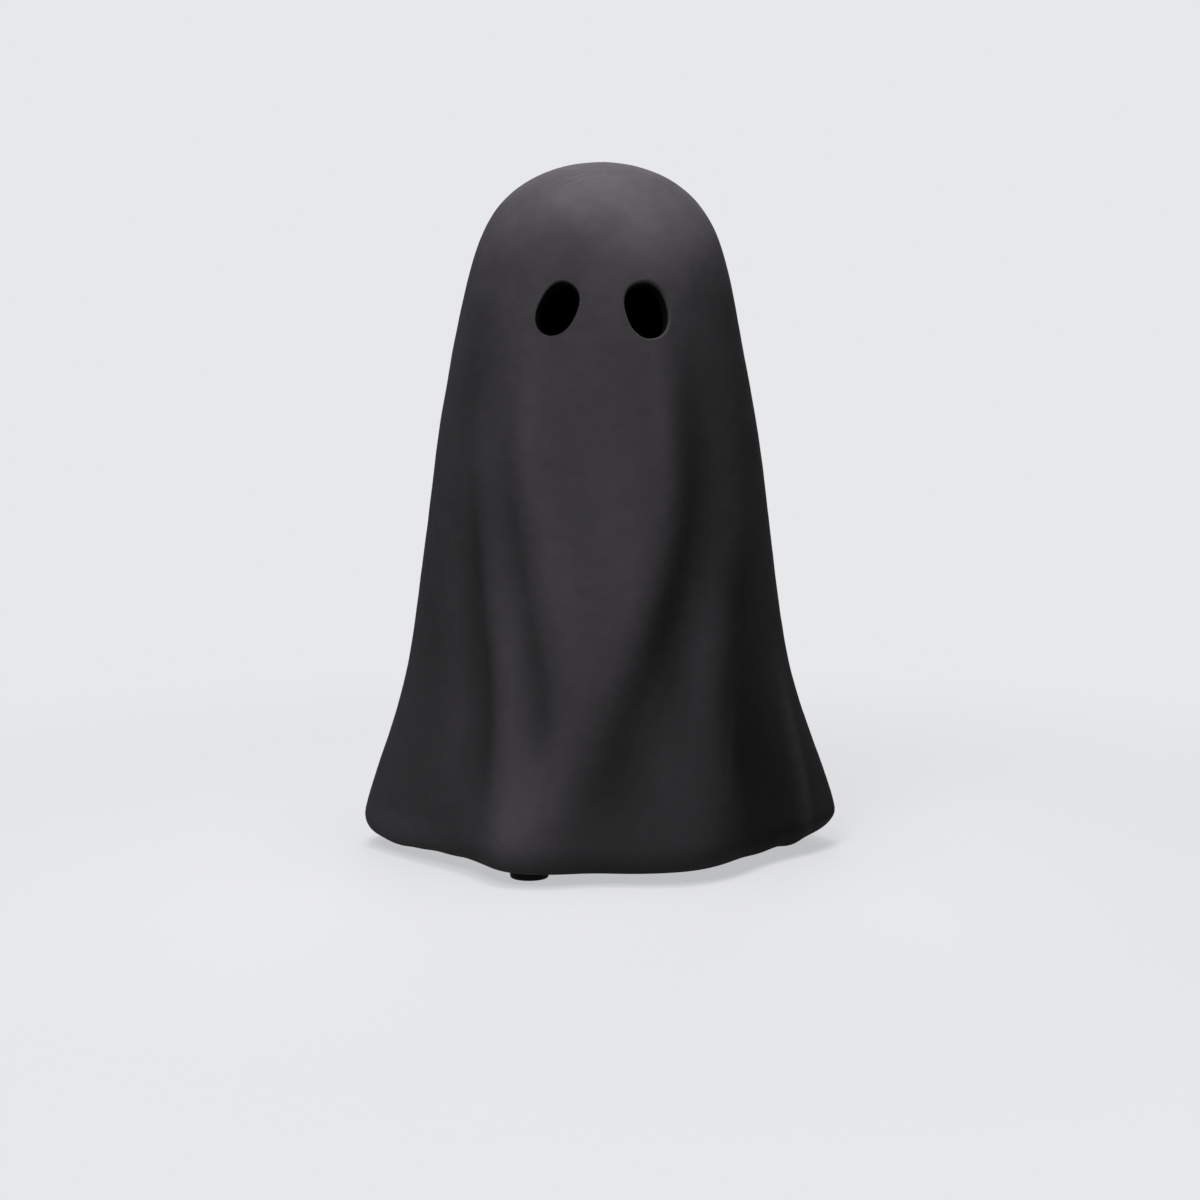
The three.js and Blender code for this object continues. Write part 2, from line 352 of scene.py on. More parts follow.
# %% Draw both eyes
def spread_inside(tube_end, inner_loop):
    """Rings from the tube's end to the window in the inner sheet, which has half as many points."""
    previous = tube_end
    for ring in range(1, TUBE_RINGS):
        share = ring / TUBE_RINGS
        pairs = zip(tube_end[::2], inner_loop)
        current = [add_point(*between(points[i], points[j], share), WALL) for i, j in pairs]
        bridge(previous, current)
        previous = current
    bridge(previous, inner_loop)


def draw_eye(eye, window):
    outer_loop = window_loop(outer_sheet, window, 1)
    turns = [eye_turn(eye, points[i][0], points[i][1]) for i in outer_loop]
    lip_edge = [egg_point(eye, turn, 1) for turn in turns]
    lip = roll_lip(eye, turns, spread_to_lip(outer_loop, lip_edge))
    spread_inside(pass_through_wall(eye, turns, lip), window_loop(inner_sheet, window, 2))


for eye, window in zip(EYES, WINDOWS):
    draw_eye(eye, window)
print(len(points), "points with the eye tubes")

# %% Close the rim under the hem
for column in range(0, COLUMNS, 2):
    a, b, c = (outer_sheet[column + step, 0] for step in range(3))
    here, there = inner_sheet[column, 0], inner_sheet[column + 2, 0]
    faces.extend([[b, a, here], [c, b, there], [b, here, there]])
print(len(faces), "faces in all")

# %% Keep the points that a face uses, as a mesh
used = sorted({i for face in faces for i in face})
renumbered = {old: new for new, old in enumerate(used)}
pattern = bpy.data.meshes.new("shell_pattern")
pattern.from_pydata([points[i] for i in used], [], [[renumbered[i] for i in face] for face in faces])
pattern.validate()
print("pattern:", len(pattern.vertices), "points,", len(pattern.polygons), "faces")

# %% [markdown]
# ## Sums written as nodes
#
# Geometry Nodes can work out the drape for every point at once. Wired by hand the sums would be
# hundreds of nodes, so they are written as small functions instead. Each adds the nodes it needs and
# hands back their result. A number goes straight into a socket, and anything else is linked to it.

# %% Node helpers
def new_tree(name, result, kind, inputs):
    """An empty geometry tree with one result and named number inputs, and its input and output nodes."""
    made = bpy.data.node_groups.new(name, "GeometryNodeTree")
    if kind == "NodeSocketGeometry":
        made.interface.new_socket("Geometry", in_out="INPUT", socket_type=kind)
    made.interface.new_socket(result, in_out="OUTPUT", socket_type=kind)
    for label, value in inputs.items():
        socket = made.interface.new_socket(label, in_out="INPUT", socket_type="NodeSocketFloat")
        socket.default_value = value
    return made, made.nodes.new("NodeGroupInput"), made.nodes.new("NodeGroupOutput")


def feed(tree, socket, value):
    if isinstance(value, (int, float)):
        socket.default_value = value
    else:
        tree.links.new(value, socket)


def calc(tree, operation, *values):
    node = tree.nodes.new("ShaderNodeMath")
    node.operation = operation
    for socket, value in zip(node.inputs, values):
        feed(tree, socket, value)
    return node.outputs[0]


def ease(tree, value, start, end):
    """Nought before start, one after end, and a soft S between. A start past the end runs it backwards."""
    node = tree.nodes.new("ShaderNodeMapRange")
    node.interpolation_type = "SMOOTHSTEP"
    for label, given in (("Value", value), ("From Min", start), ("From Max", end)):
        feed(tree, node.inputs[label], given)
    return node.outputs["Result"]


def bell(tree, offset, width):
    ratio = calc(tree, "DIVIDE", offset, width)
    return calc(tree, "EXPONENT", calc(tree, "MULTIPLY", calc(tree, "MULTIPLY", ratio, ratio), -1))


def turned_from(tree, angle, facing):
    """How many degrees an angle lies from a facing, the short way round."""
    return calc(tree, "WRAP", calc(tree, "SUBTRACT", angle, facing), 180.0, -180.0)


# %% [markdown]
# ## One fold
#
# A fold is a line that climbs the figure and drifts to one side, with a soft dip or ridge across it.
# One group works out how deep it is at a given angle and level. Each fold in the list only gives the
# group its own sizes, so a new fold is one more line there.

# %% The fold group
def build_fold_group():
    inputs = {"Angle": 0.0, "Level": 0.0, **{word: 0.0 for word in FOLD_WORDS}}
    tree, given, result = new_tree("fold_depth", "Depth", "NodeSocketFloat", inputs)
    get = given.outputs
    climb = ease(tree, get["Level"], 0.0, get["Reach"])
    drift = calc(tree, "MULTIPLY", calc(tree, "SUBTRACT", get["Top angle"], get["Hem angle"]), climb)
    line = calc(tree, "ADD", get["Hem angle"], drift)
    offset = turned_from(tree, get["Angle"], line)
    on_left = calc(tree, "LESS_THAN", offset, 0.0)
    wider = calc(tree, "SUBTRACT", get["Left width"], get["Right width"])
    width = calc(tree, "ADD", get["Right width"], calc(tree, "MULTIPLY", wider, on_left))
    growth = ease(tree, get["Level"], get["Foot"], get["Full"])
    melt = calc(tree, "SUBTRACT", 1.0, ease(tree, get["Level"], get["Full"], get["End"]))
    strength = calc(tree, "MULTIPLY", calc(tree, "MULTIPLY", growth, melt), get["Depth"])
    tree.links.new(calc(tree, "MULTIPLY", strength, bell(tree, offset, width)), result.inputs[0])
    return tree


fold_group = build_fold_group()
print("fold group:", len(fold_group.nodes), "nodes")

# %% [markdown]
# ## Rolling up the pattern
#
# The main tree turns angle and height into a place. The half-width at a height is a straight taper
# with a flare at the hem and a slight swell at the shoulder, and a root brings it in to a point at
# the crown, which rounds the dome on the way. The plan section is an oval at the head and melts into
# six flat panels at the hem. The folds are taken off, the hem is tucked under and hangs lower in a
# few places, and points of the inner sheet are drawn in by the wall. Then the edges are merged, and
# a gentle relief, such as pulp has when it dries, moves the skin by fractions of a millimetre.

# %% The tree's named inputs
DRAPE_INPUTS = {
    "Height": HEIGHT, "Waist half width": WAIST_HALF_WIDTH, "Taper": TAPER_PER_MM, "Hem flare": HEM_FLARE,
    "Dome power": DOME_POWER, "Depth to width": DEPTH_TO_WIDTH, "Panel top": PANEL_TOP, "Wall": WALL,
    "Lump height": 0.9, "Lump size": 46.0, "Pulp height": 0.16, "Pulp size": 9.0, "Seed": 7.0,
}
print(len(DRAPE_INPUTS), "inputs")

# %% Half-width and dome
def tapered_half_width(tree, get, level):
    below_waist = calc(tree, "SUBTRACT", WAIST_LEVEL, level)
    straight = calc(tree, "MULTIPLY_ADD", below_waist, get["Taper"], get["Waist half width"])
    above_hem = calc(tree, "SUBTRACT", level, HEM_WIDEST_LEVEL)
    flare = calc(tree, "MULTIPLY", bell(tree, above_hem, FLARE_REACH), get["Hem flare"])
    above_shoulder = calc(tree, "SUBTRACT", level, SHOULDER_LEVEL)
    swell = calc(tree, "MULTIPLY", bell(tree, above_shoulder, SHOULDER_REACH), SHOULDER_SWELL)
    return calc(tree, "ADD", calc(tree, "ADD", straight, flare), swell)


def dome_rounding(tree, get, climb):
    """One over most of the height, and then down to nought at the crown in a round bend."""
    left = calc(tree, "SUBTRACT", 1.0, calc(tree, "POWER", climb, get["Dome power"]))
    return calc(tree, "SQRT", calc(tree, "MAXIMUM", left, 0.0))


# %% Plan section: an oval that melts into flat panels
def oval_radius(tree, get, radians, half_width):
    sine = calc(tree, "SINE", radians)
    deep = calc(tree, "DIVIDE", calc(tree, "COSINE", radians), get["Depth to width"])
    squares = calc(tree, "MULTIPLY_ADD", sine, sine, calc(tree, "MULTIPLY", deep, deep))
    return calc(tree, "DIVIDE", half_width, calc(tree, "SQRT", squares))


def panel_radius(tree, radians, half_width):
    total = 0.0
    for facing, share in PANELS:
        towards = calc(tree, "COSINE", calc(tree, "SUBTRACT", radians, math.radians(facing)))
        pull = calc(tree, "DIVIDE", calc(tree, "MAXIMUM", towards, 0.0), share)
        total = calc(tree, "ADD", total, calc(tree, "POWER", pull, PANEL_CORNER))
    return calc(tree, "MULTIPLY", calc(tree, "POWER", total, -1 / PANEL_CORNER), half_width)


def plan_section(tree, get, radians, level, half_width):
    """How far out the sheet hangs before it is folded."""
    oval = oval_radius(tree, get, radians, half_width)
    panelled = panel_radius(tree, radians, half_width)
    panel_share = calc(tree, "SUBTRACT", 1.0, ease(tree, level, 0.0, get["Panel top"]))
    return calc(tree, "MULTIPLY_ADD", calc(tree, "SUBTRACT", panelled, oval), panel_share, oval)


# %% All the folds, and how hollow they leave the drape
HOLLOW_STEP = 14.0
HOLLOW_SHADE_ABOVE = 60.0


def one_fold(tree, name, angle, level):
    node = tree.nodes.new("GeometryNodeGroup")
    node.node_tree = fold_group
    node.label = name
    tree.links.new(angle, node.inputs["Angle"])
    tree.links.new(level, node.inputs["Level"])
    for word, size in zip(FOLD_WORDS, FOLDS[name]):
        node.inputs[word].default_value = size
    return node.outputs["Depth"]


def all_folds(tree, angle, level):
    total = 0.0
    for name in FOLDS:
        total = calc(tree, "ADD", total, one_fold(tree, name, angle, level))
    return total


# The colour uses this for painted shade in the hollows and painted highlight on the crests.
def hollowness(tree, angle, level, here):
    """How much deeper the drape is here than a step to either side, in mm. A crest comes out negative."""
    left = all_folds(tree, calc(tree, "SUBTRACT", angle, HOLLOW_STEP), level)
    right = all_folds(tree, calc(tree, "ADD", angle, HOLLOW_STEP), level)
    deeper = calc(tree, "MULTIPLY_ADD", calc(tree, "ADD", left, right), -0.5, here)
    return calc(tree, "MULTIPLY", deeper, ease(tree, level, HEM_LEVEL, HOLLOW_SHADE_ABOVE))


# %% [markdown]
# ## Where the colour is paler or darker, and where light and shade are painted
#
# Thin paint isn't even: handling rubs it paler on the brow and the crests, and it lies thicker in the
# valleys. The soft patches here make the colour paler or darker, partly for that wear and partly as
# painted light: painted shade on the right flank and right of the hem, painted highlight on the crown,
# the left edge of the front panel and the left end of the hem. It could be painted on the mesh by hand
# or left to noise, but named soft patches are easier to read and to move. Each has a place, a reach and
# a strength, which is the logarithm of how much paler the colour is there, so patches that overlap
# simply add up. They were set against the figure's picture, where paint and shade can't be told apart,
# so some of them stand for shade. The strongest, right of the hem, is painted shade, and under another
# light it shows as a dark place. The tree keeps the sum on the mesh as an attribute, next to how hollow
# the drape is and how far inside a point lies.

# %% Patches from the crown down: facing, level, reach both ways, strength
# Each patch makes the colour paler or darker: partly wear, partly painted shade and painted highlight.
PAINT_AND_LIGHT_PATCHES = {
    "crown, rubbed and painted highlight": (0, 272, 180, 12, 0.12),
    "right brow, paler": (32, 247, 21, 22, 0.30),
    "left brow, darker": (-34, 246, 20, 14, -0.20),
    "right edge of the brow, paler": (72, 246, 20, 18, 0.32),
    "between the eyes, paler": (2, 226, 13, 13, 0.14),
    "left temple, darker": (-57, 200, 12, 27, -0.32),
    "right temple, darker": (68, 196, 22, 36, -0.26),
    "right edge of the panel, paler": (25, 184, 5, 36, 0.18),
    "left edge of the panel, painted highlight": (-28, 176, 4.5, 34, 0.12),
    "beside the panel's right edge, darker": (39, 172, 7, 32, -0.24),
    "middle of the back, paler": (180, 140, 22, 55, 0.25),
    "left valley, darker": (-48, 128, 5, 30, -0.20),
    "front panel, paler": (4, 125, 20, 52, 0.36),
    # The right flank's patch is painted shade.
    "right flank, painted shade": (57, 112, 10, 28, -0.50),
    "inner left valley, paler": (-27, 100, 9, 30, 0.24),
    "sweeping valley, darker": (24, 82, 9, 32, -0.30),
    "left valley's foot, darker": (-37, 52, 6.5, 24, -0.22),
    "right valley's edge, darker": (49, 52, 7, 42, -0.26),
    "left of the hem, darker": (-65, 38, 22, 30, -0.20),
    "middle of the hem, darker": (7, 38, 14, 26, -0.58),
    # The patch right of the hem is painted shade.
    "right of the hem, painted shade": (62, 36, 27, 38, -1.22),
    "front left of the hem, paler": (-24, 21, 9, 17, 0.40),
    "left end of the hem, painted highlight": (-74, 9, 24, 8, 0.50),
}
print(len(PAINT_AND_LIGHT_PATCHES), "patches")

# %% Crests painted paler along their whole length, a painted highlight: how much per mm of their height
HIGHLIGHTED_CRESTS = {"right side crease": 0.3, "fine crease right of the middle": 0.5}
print("rubbed crests:", ", ".join(HIGHLIGHTED_CRESTS))

# %% The patches and crests added up
def paint_wear_and_light(tree, angle, level):
    """How much paler the colour is here than elsewhere, from wear, painted shade and painted highlight, as
    the logarithm of its brightness.
    """
    total = 0.0
    for facing, height, wide, tall, strength in PAINT_AND_LIGHT_PATCHES.values():
        sideways = bell(tree, turned_from(tree, angle, facing), wide)
        upwards = bell(tree, calc(tree, "SUBTRACT", level, height), tall)
        soft = calc(tree, "MULTIPLY", sideways, upwards)
        total = calc(tree, "MULTIPLY_ADD", soft, strength, total)
    # These crests get painted highlight along their whole length.
    for name, per_mm in HIGHLIGHTED_CRESTS.items():
        total = calc(tree, "MULTIPLY_ADD", one_fold(tree, name, angle, level), -per_mm, total)
    return total


# %% [markdown]
# ## The hem
#
# The sheet's edge isn't level: it hangs a little lower where a fold ends. Below its widest level it
# turns under in a quarter round, and inside, its rim is wider than the wall, so that the board has
# something to sit on. All three are worked out from the level alone or from the level and the facing,
# so they cost no extra points.

# %% Where the hem hangs lower: facing, reach in degrees, drop in mm
HEM_DROOPS = [
    (-140, 6, 0.8),
    (-79, 6.5, 1.6),
    (-69, 5, 0.6),
    (-54, 5, 0.4),
    (5, 16, 0.6),
    (60, 9, 0.9),
    (77, 5, 1.2),
    (170, 20, 0.7),
]
DROOPS_BELOW = 30.0
print(len(HEM_DROOPS), "droops, the deepest", max(drop for _, _, drop in HEM_DROOPS), "mm")

# %% Droop, tuck and rim
def hem_droop(tree, angle, level):
    total = 0.0
    for facing, wide, drop in HEM_DROOPS:
        total = calc(tree, "MULTIPLY_ADD", bell(tree, turned_from(tree, angle, facing), wide), drop, total)
    return calc(tree, "MULTIPLY", total, ease(tree, level, DROOPS_BELOW, HEM_LEVEL))


def hem_tuck(tree, level):
    depth = HEM_WIDEST_LEVEL - HEM_LEVEL
    share = calc(tree, "DIVIDE", calc(tree, "SUBTRACT", HEM_WIDEST_LEVEL, level), depth)
    share = calc(tree, "MINIMUM", calc(tree, "MAXIMUM", share, 0.0), 1.0)
    rest = calc(tree, "SQRT", calc(tree, "SUBTRACT", 1.0, calc(tree, "MULTIPLY", share, share)))
    return calc(tree, "MULTIPLY", calc(tree, "SUBTRACT", 1.0, rest), HEM_TURN_UNDER)


def wall_and_rim(tree, level, inset, inside):
    """How far inwards a point of the inner sheet lies, in mm."""
    rim_left = calc(tree, "SUBTRACT", 1.0, ease(tree, level, BOARD_TOP, BOARD_TOP + RIM_BLEND))
    rim = calc(tree, "MULTIPLY", calc(tree, "MULTIPLY", rim_left, HEM_TURN_UNDER + HEM_RIM - WALL), inside)
    return calc(tree, "ADD", inset, rim)


# %% [markdown]
# ## The tree put together
#
# With those parts, one function says where a point of the pattern lands. The tree keeps the values
# for the paint first, while the points still lie flat. Then it moves the points, merges the edges
# where the sheet meets itself, and lets the relief push the skin. Realize Instances and Set Material
# come last, the second finish only where a point has crossed the wall.

# %% Where a point of the pattern lands
CROWN_WALL_POWER = 4.0


def landing_place(tree, get, angle, level, inset, inside, folded):
    radians = calc(tree, "RADIANS", angle)
    tapered = tapered_half_width(tree, get, level)
    climb = calc(tree, "DIVIDE", level, get["Height"])
    half_width = calc(tree, "MULTIPLY", tapered, dome_rounding(tree, get, climb))
    draped = calc(tree, "SUBTRACT", plan_section(tree, get, radians, level, half_width), folded)
    drawn_in = calc(tree, "DIVIDE", wall_and_rim(tree, level, inset, inside), tapered)
    kept = calc(tree, "MULTIPLY", draped, calc(tree, "SUBTRACT", 1.0, drawn_in))
    tuck = calc(tree, "MULTIPLY", hem_tuck(tree, level), calc(tree, "SUBTRACT", 1.0, inside))
    radius = calc(tree, "MULTIPLY", calc(tree, "SUBTRACT", kept, tuck), MM)
    under_crown = calc(tree, "MULTIPLY", inset, calc(tree, "POWER", climb, CROWN_WALL_POWER))
    lowered = calc(tree, "SUBTRACT", level, under_crown)
    lowered = calc(tree, "SUBTRACT", lowered, hem_droop(tree, angle, level))
    lean = calc(tree, "MULTIPLY", calc(tree, "POWER", climb, CROWN_LEAN_POWER), CROWN_LEAN * MM)
    forwards = calc(tree, "MULTIPLY", radius, calc(tree, "COSINE", radians))
    place = tree.nodes.new("ShaderNodeCombineXYZ")
    tree.links.new(calc(tree, "MULTIPLY_ADD", radius, calc(tree, "SINE", radians), lean), place.inputs[0])
    tree.links.new(calc(tree, "MULTIPLY", forwards, -1.0), place.inputs[1])
    tree.links.new(calc(tree, "MULTIPLY", lowered, MM), place.inputs[2])
    return place.outputs[0]


# %% Keep values for the paint, move the points and merge the edges
MERGE_WITHIN = 0.008


def here_and_now(tree):
    return tree.nodes.new("GeometryNodeInputPosition").outputs[0]


def keep_values(tree, geometry, values):
    for label, value in values.items():
        keep = tree.nodes.new("GeometryNodeStoreNamedAttribute")
        keep.inputs["Name"].default_value = label
        tree.links.new(geometry, keep.inputs["Geometry"])
        tree.links.new(value, keep.inputs["Value"])
        geometry = keep.outputs[0]
    return geometry


def roll_up(tree, geometry, place):
    roll = tree.nodes.new("GeometryNodeSetPosition")
    tree.links.new(geometry, roll.inputs["Geometry"])
    tree.links.new(place, roll.inputs["Position"])
    merge = tree.nodes.new("GeometryNodeMergeByDistance")
    merge.inputs["Distance"].default_value = MERGE_WITHIN * MM
    tree.links.new(roll.outputs[0], merge.inputs["Geometry"])
    return merge.outputs[0]


# %% The relief of dried pulp
def relief(tree, get, size, height, detail):
    """A soft noise on the finished place, centred on nought, as a distance along the normal."""
    noise = tree.nodes.new("ShaderNodeTexNoise")
    noise.noise_dimensions = "4D"
    noise.inputs["Detail"].default_value = detail
    feed(tree, noise.inputs["Vector"], here_and_now(tree))
    feed(tree, noise.inputs["W"], get["Seed"])
    feed(tree, noise.inputs["Scale"], calc(tree, "DIVIDE", 1 / MM, size))
    centred = calc(tree, "SUBTRACT", noise.outputs[0], 0.5)
    return calc(tree, "MULTIPLY", calc(tree, "MULTIPLY", centred, height), 2 * MM)


def dry(tree, get, geometry):
    """Moves the skin in and out along its normal, less and less towards the flat underside."""
    lumps = relief(tree, get, get["Lump size"], get["Lump height"], 0.0)
    pulp = relief(tree, get, get["Pulp size"], get["Pulp height"], 2.0)
    place = tree.nodes.new("ShaderNodeSeparateXYZ")
    tree.links.new(here_and_now(tree), place.inputs[0])
    above_hem = ease(tree, place.outputs[2], HEM_LEVEL * MM, (HEM_WIDEST_LEVEL + RIM_BLEND) * MM)
    away = tree.nodes.new("ShaderNodeVectorMath")
    away.operation = "SCALE"
    tree.links.new(tree.nodes.new("GeometryNodeInputNormal").outputs[0], away.inputs[0])
    tree.links.new(calc(tree, "MULTIPLY", calc(tree, "ADD", lumps, pulp), above_hem), away.inputs["Scale"])
    dried = tree.nodes.new("GeometryNodeSetPosition")
    tree.links.new(geometry, dried.inputs["Geometry"])
    tree.links.new(away.outputs[0], dried.inputs["Offset"])
    return dried.outputs[0]


# %% The whole drape tree
WALL_IS_CROSSED = 0.97


def give_finish(tree, geometry, finish):
    painted = tree.nodes.new("GeometryNodeSetMaterial")
    painted.inputs["Material"].default_value = finish
    tree.links.new(geometry, painted.inputs["Geometry"])
    return painted


def build_drape(outside_paint, inside_paint):
    tree, given, result = new_tree("drape", "Geometry", "NodeSocketGeometry", DRAPE_INPUTS)
    get = given.outputs
    flat = tree.nodes.new("ShaderNodeSeparateXYZ")
    tree.links.new(here_and_now(tree), flat.inputs[0])
    angle, level = flat.outputs[0], flat.outputs[1]
    inset = calc(tree, "MULTIPLY", flat.outputs[2], -1.0)
    inside = calc(tree, "DIVIDE", inset, get["Wall"])
    folded = all_folds(tree, angle, level)
    hollow = hollowness(tree, angle, level, folded)
    values = {"inside": inside, "hollow": hollow, "wear_and_painted_light": paint_wear_and_light(tree, angle, level)}
    place = landing_place(tree, get, angle, level, inset, inside, folded)
    skin = dry(tree, get, roll_up(tree, keep_values(tree, get["Geometry"], values), place))
    realised = tree.nodes.new("GeometryNodeRealizeInstances")
    tree.links.new(skin, realised.inputs[0])
    painted = give_finish(tree, realised.outputs[0], outside_paint)
    lined = give_finish(tree, painted.outputs[0], inside_paint)
    noted = tree.nodes.new("GeometryNodeInputNamedAttribute")
    noted.inputs["Name"].default_value = "inside"
    tree.links.new(calc(tree, "GREATER_THAN", noted.outputs[0], WALL_IS_CROSSED), lined.inputs["Selection"])
    tree.links.new(lined.outputs[0], result.inputs["Geometry"])
    print("drape tree:", len(tree.nodes), "nodes")
    return tree


# %% Baking a tree into a plain mesh
def socket_names(tree):
    return {item.name: item.identifier for item in tree.interface.items_tree if item.in_out == "INPUT"}


def bake(name, mesh, tree, inputs):
    """Runs the tree on the mesh, and gives back an object at the origin with a plain mesh."""
    worker = bpy.data.objects.new(name, mesh)
    bpy.context.scene.collection.objects.link(worker)
    modifier = worker.modifiers.new(tree.name, "NODES")
    modifier.node_group = tree
    identifiers = socket_names(tree)
    for label, value in inputs.items():
        modifier[identifiers[label]] = value
    evaluated = worker.evaluated_get(bpy.context.evaluated_depsgraph_get())
    plain = bpy.data.meshes.new_from_object(evaluated)
    worker.modifiers.remove(modifier)
    worker.data = plain
    plain.name = name
    plain.shade_smooth()
    plain.calc_loop_triangles()
    print(name + ":", len(plain.vertices), "points,", len(plain.loop_triangles), "triangles")
    return worker


# %% [markdown]
# ## Charcoal paint
#
# The paint is a matt charcoal with a faint purple cast, brushed on thinly. It is darker in the hollows,
# where it runs together and where painted shade is added, and paler on the crests and the crown, where
# it is rubbed and where painted highlight is added. The drape tree has noted hollows and crests on the
# mesh, with the patches of wear, painted shade and painted highlight, so the colour follows the folds
# exactly. Close up the paper still shows as soft mottling and a fine tooth, and a few wrinkles stand
# on the crown. In an eye opening the colour turns black over the first third of the wall, as painted
# shade. The noises read Object coordinates: the piece sits at the origin, so the pattern stays put.

# %% A new material, its noise and its ramp of colours
def new_material(name):
    material = bpy.data.materials.new(name)
    material.use_nodes = True
    tree = material.node_tree
    shader = tree.nodes["Principled BSDF"]
    coordinates = tree.nodes.new("ShaderNodeTexCoord").outputs["Object"]
    return material, tree, shader, coordinates


def grey(value):
    return value, value, value


def noise(tree, where, size_mm, detail=2.0, roughness=0.5):
    node = tree.nodes.new("ShaderNodeTexNoise")
    feed(tree, node.inputs["Vector"], where)
    node.inputs["Scale"].default_value = 1 / (size_mm * MM)
    node.inputs["Detail"].default_value = detail
    node.inputs["Roughness"].default_value = roughness
    return node.outputs[0]


def ramp(tree, value, stops):
    node = tree.nodes.new("ShaderNodeValToRGB")
    band = node.color_ramp
    while len(band.elements) < len(stops):
        band.elements.new(0.5)
    for element, (place, colour) in zip(band.elements, stops):
        element.position = place
        element.color = (*colour, 1)
    feed(tree, node.inputs[0], value)
    return node.outputs[0]


# %% Kept values, blended colours and bumps
def stored(tree, name):
    """A value that the drape tree kept on the mesh."""
    node = tree.nodes.new("ShaderNodeAttribute")
    node.attribute_name = name
    return node.outputs["Fac"]


def blend_colours(tree, share, first, second, kind="MIX"):
    node = tree.nodes.new("ShaderNodeMix")
    node.data_type = "RGBA"
    node.blend_type = kind
    for socket, value in zip((node.inputs[0], node.inputs[6], node.inputs[7]), (share, first, second)):
        if isinstance(value, tuple):
            socket.default_value = (*value, 1)
        else:
            feed(tree, socket, value)
    return node.outputs[2]


def bump(tree, height, distance_mm, strength=1.0, normal=None):
    node = tree.nodes.new("ShaderNodeBump")
    node.inputs["Strength"].default_value = strength
    node.inputs["Distance"].default_value = distance_mm * MM
    tree.links.new(height, node.inputs["Height"])
    if normal is not None:
        tree.links.new(normal, node.inputs["Normal"])
    return node.outputs[0]


# %% Colours of the paint, its painted shade and painted highlight, and where they change
# The dark colour is pooled paint with painted shade in the hollows; on the board it is paint mist.
DARK_PAINT_AND_SHADE = (0.0203, 0.0192, 0.0205)
CHARCOAL = (0.043, 0.0402, 0.0435)
# The pale colour is rubbed paint with painted highlight on the crests and the crown.
PALE_PAINT_AND_HIGHLIGHT = (0.054, 0.050, 0.054)
# The black that the wall of an eye opening fades to is painted shade.
OPENING_SHADE_BLACK = grey(0.003)
DARKEST_AT_HOLLOW = 10.0
PALEST_AT_CREST = -5.0
CROWN_PALE_FROM = 228
CROWN_PALE_TO = 276
RAGGED_EDGE = 20
CLOUD_STRENGTH = 0.7
CLOUDS_ABOVE = 195
OPENING_DARKENS_FROM = 0.07
OPENING_DARK_AT = 0.36
print("hollows pool at", DARKEST_AT_HOLLOW, "mm, the crown is rubbed above", CROWN_PALE_FROM, "mm")

# %% Darker in hollows, paler on crests and crown: pooled and rubbed paint with painted shade and highlight
def paint_with_shade_and_highlight(tree, where, level):
    # Hollows get the dark colour, pooled paint with painted shade, and crests the pale one, rubbed paint with
    # painted highlight.
    uneven = calc(tree, "MULTIPLY_ADD", noise(tree, where, 24, 3), 1.2, -0.6)
    depth = ease(tree, calc(tree, "ADD", stored(tree, "hollow"), uneven), PALEST_AT_CREST, DARKEST_AT_HOLLOW)
    colour = ramp(tree, depth, [(0.0, PALE_PAINT_AND_HIGHLIGHT), (0.3, CHARCOAL), (1.0, DARK_PAINT_AND_SHADE)])
    # Towards the top of the crown the colour turns to the pale one: rubbed paint with painted highlight of
    # the lamp above.
    lower = calc(tree, "SUBTRACT", level, RAGGED_EDGE * MM)
    ragged = calc(tree, "MULTIPLY_ADD", noise(tree, where, 30, 2), 2 * RAGGED_EDGE * MM, lower)
    return blend_colours(tree, ease(tree, ragged, CROWN_PALE_FROM * MM, CROWN_PALE_TO * MM), colour, PALE_PAINT_AND_HIGHLIGHT)


def brushed_worn_and_shaded(tree, where, level, colour):
    """Brush mottling everywhere, faint clouds on the head, and the wear, painted shade and painted highlight
    that the drape tree noted.
    """
    brushed = ramp(tree, noise(tree, where, 5, 4, 0.6), [(0.35, grey(0.86)), (0.65, grey(1.0))])
    colour = blend_colours(tree, 0.6, colour, brushed, "MULTIPLY")
    clouds = calc(tree, "MULTIPLY_ADD", noise(tree, where, 26, 2), CLOUD_STRENGTH, -CLOUD_STRENGTH / 2)
    clouds = calc(tree, "MULTIPLY", clouds, ease(tree, level, CLOUDS_ABOVE * MM, CROWN_PALE_FROM * MM))
    # Wear, painted shade and painted highlight from the patches, with the clouds on the head.
    wear_and_light_factor = calc(tree, "EXPONENT", calc(tree, "ADD", stored(tree, "wear_and_painted_light"), clouds))
    return blend_colours(tree, 1.0, colour, wear_and_light_factor, "MULTIPLY")


# %% Tooth, fibres and the wrinkles on the crown
CROWN_WRINKLES = Vector((-8, -20, 275)) * MM
WRINKLES_REACH = 14
WRINKLES_CORE = 0.3


def paper_relief(tree, where):
    tooth = bump(tree, noise(tree, where, 0.9, 3, 0.65), 0.05, 0.6)
    fibres = bump(tree, noise(tree, where, 4, 2), 0.12, 0.5, tooth)
    apart = tree.nodes.new("ShaderNodeVectorMath")
    apart.operation = "DISTANCE"
    tree.links.new(where, apart.inputs[0])
    apart.inputs[1].default_value = CROWN_WRINKLES
    near = ease(tree, apart.outputs["Value"], WRINKLES_REACH * MM, WRINKLES_CORE * WRINKLES_REACH * MM)
    return bump(tree, calc(tree, "MULTIPLY", noise(tree, where, 3.2, 1), near), 1.0, 0.8, fibres)


